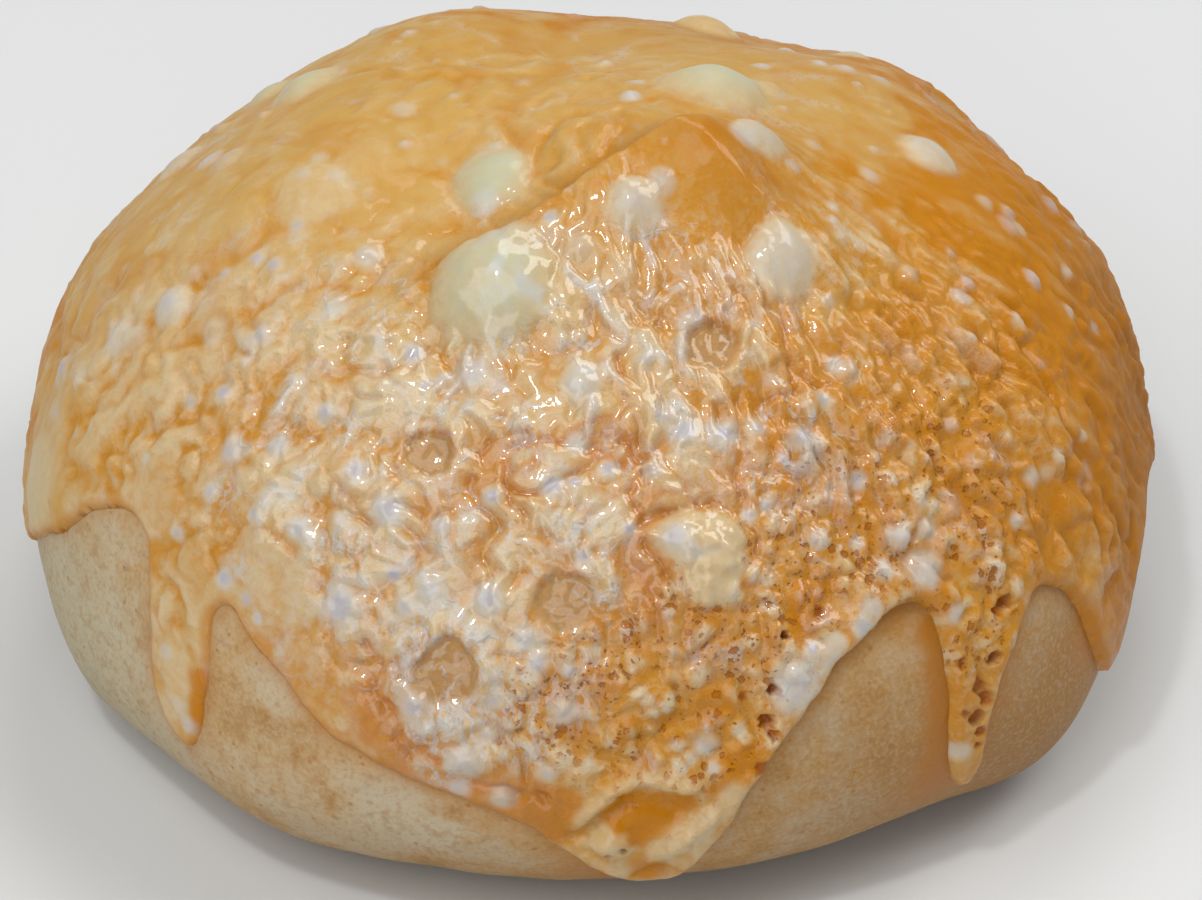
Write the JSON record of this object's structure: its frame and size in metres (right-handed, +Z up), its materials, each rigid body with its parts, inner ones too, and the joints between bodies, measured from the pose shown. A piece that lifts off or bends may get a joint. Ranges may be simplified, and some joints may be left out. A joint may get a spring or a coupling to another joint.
{
  "type": "cheese roll",
  "caption": "Round bread roll with a square slice of cheese melted and baked over it, its corners hanging down the sides and one drip running low at the front.",
  "frame": {"origin": "middle of the flat base of the roll, on the surface it stands on", "axes": "+Z up; -Y to the front, where a corner of the slice hangs lowest; +X to the right as seen from the front"},
  "size_m": [0.104, 0.1024, 0.0586],
  "materials": {
    "bread_roll": "soft matte baked crust with faint oil stains",
    "cheese_crust": "glossy melted and browned cheese"
  },
  "bodies": {
    "root": {"bread_roll": "bread_roll", "cheese_crust": "cheese_crust"}
  },
  "joints": []
}
